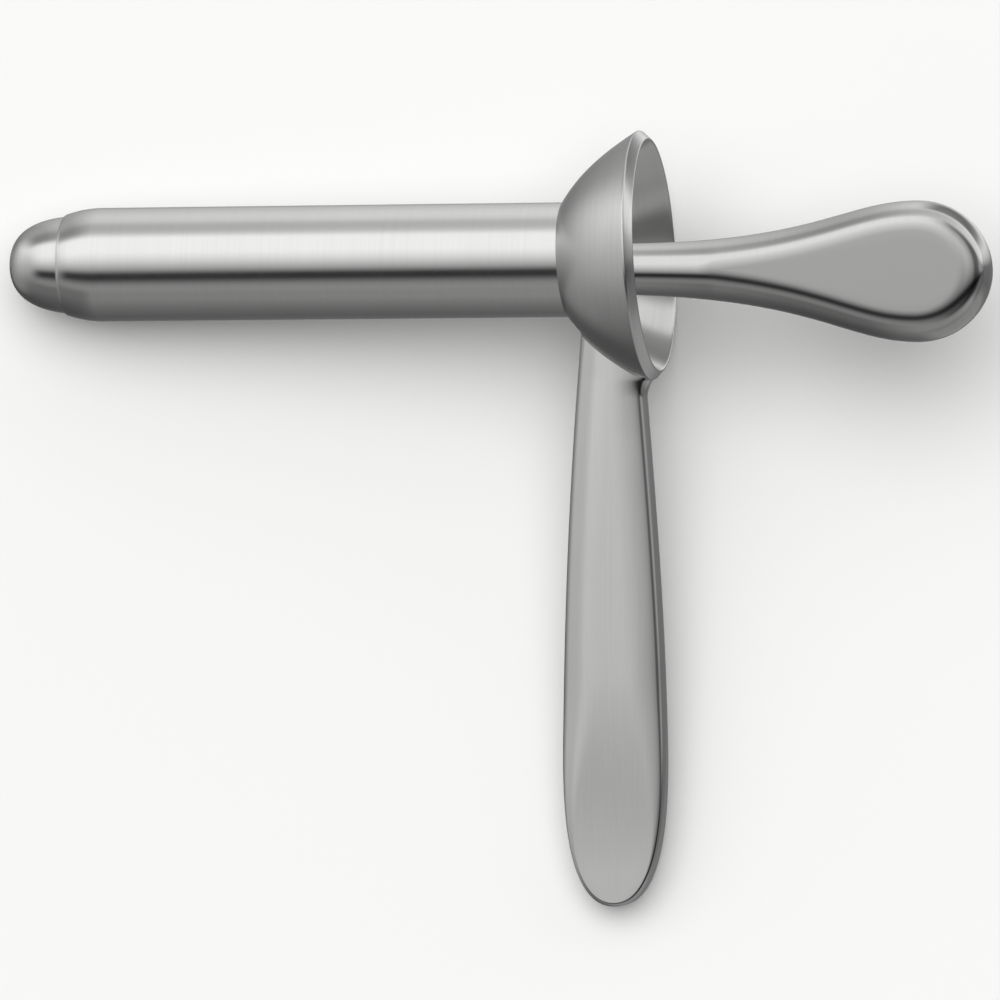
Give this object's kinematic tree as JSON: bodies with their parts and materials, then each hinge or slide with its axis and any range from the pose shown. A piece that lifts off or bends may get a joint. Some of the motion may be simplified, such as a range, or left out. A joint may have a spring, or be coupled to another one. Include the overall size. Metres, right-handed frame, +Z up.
{
  "type": "anoscope",
  "caption": "Round tubular anoscope with a flared funnel cup, a flat paddle handle and a bullet-nosed obturator with a teardrop grip that slides out of the tube.",
  "frame": {"origin": "centre of the bounding box at the height of the table that the instrument lies on", "axes": "+X runs level along the tube, from the nose to the grip; +Y points level away from the handle; +Z is up, out of the table"},
  "size_m": [0.1912, 0.1474, 0.0476],
  "materials": {
    "tube_steel": "satin, turned round the tube",
    "cup_steel": "matt satin",
    "handle_steel": "satin, ground along the handle",
    "nose_steel": "polished satin",
    "rod_steel": "drawn bar",
    "grip_steel": "polished edges and satin flats"
  },
  "bodies": {
    "sheath": {"sheath_tube": "tube_steel", "funnel_cup": "cup_steel", "sheath_handle": "handle_steel"},
    "obturator": {"obturator_nose": "nose_steel", "obturator_rod": "rod_steel", "obturator_grip": "grip_steel"}
  },
  "joints": [
    {"name": "obturator_slide", "type": "slide", "parent": "sheath", "child": "obturator", "axis": [0.9931, 0, 0.1172], "range_m": [0, 0.13]}
  ]
}
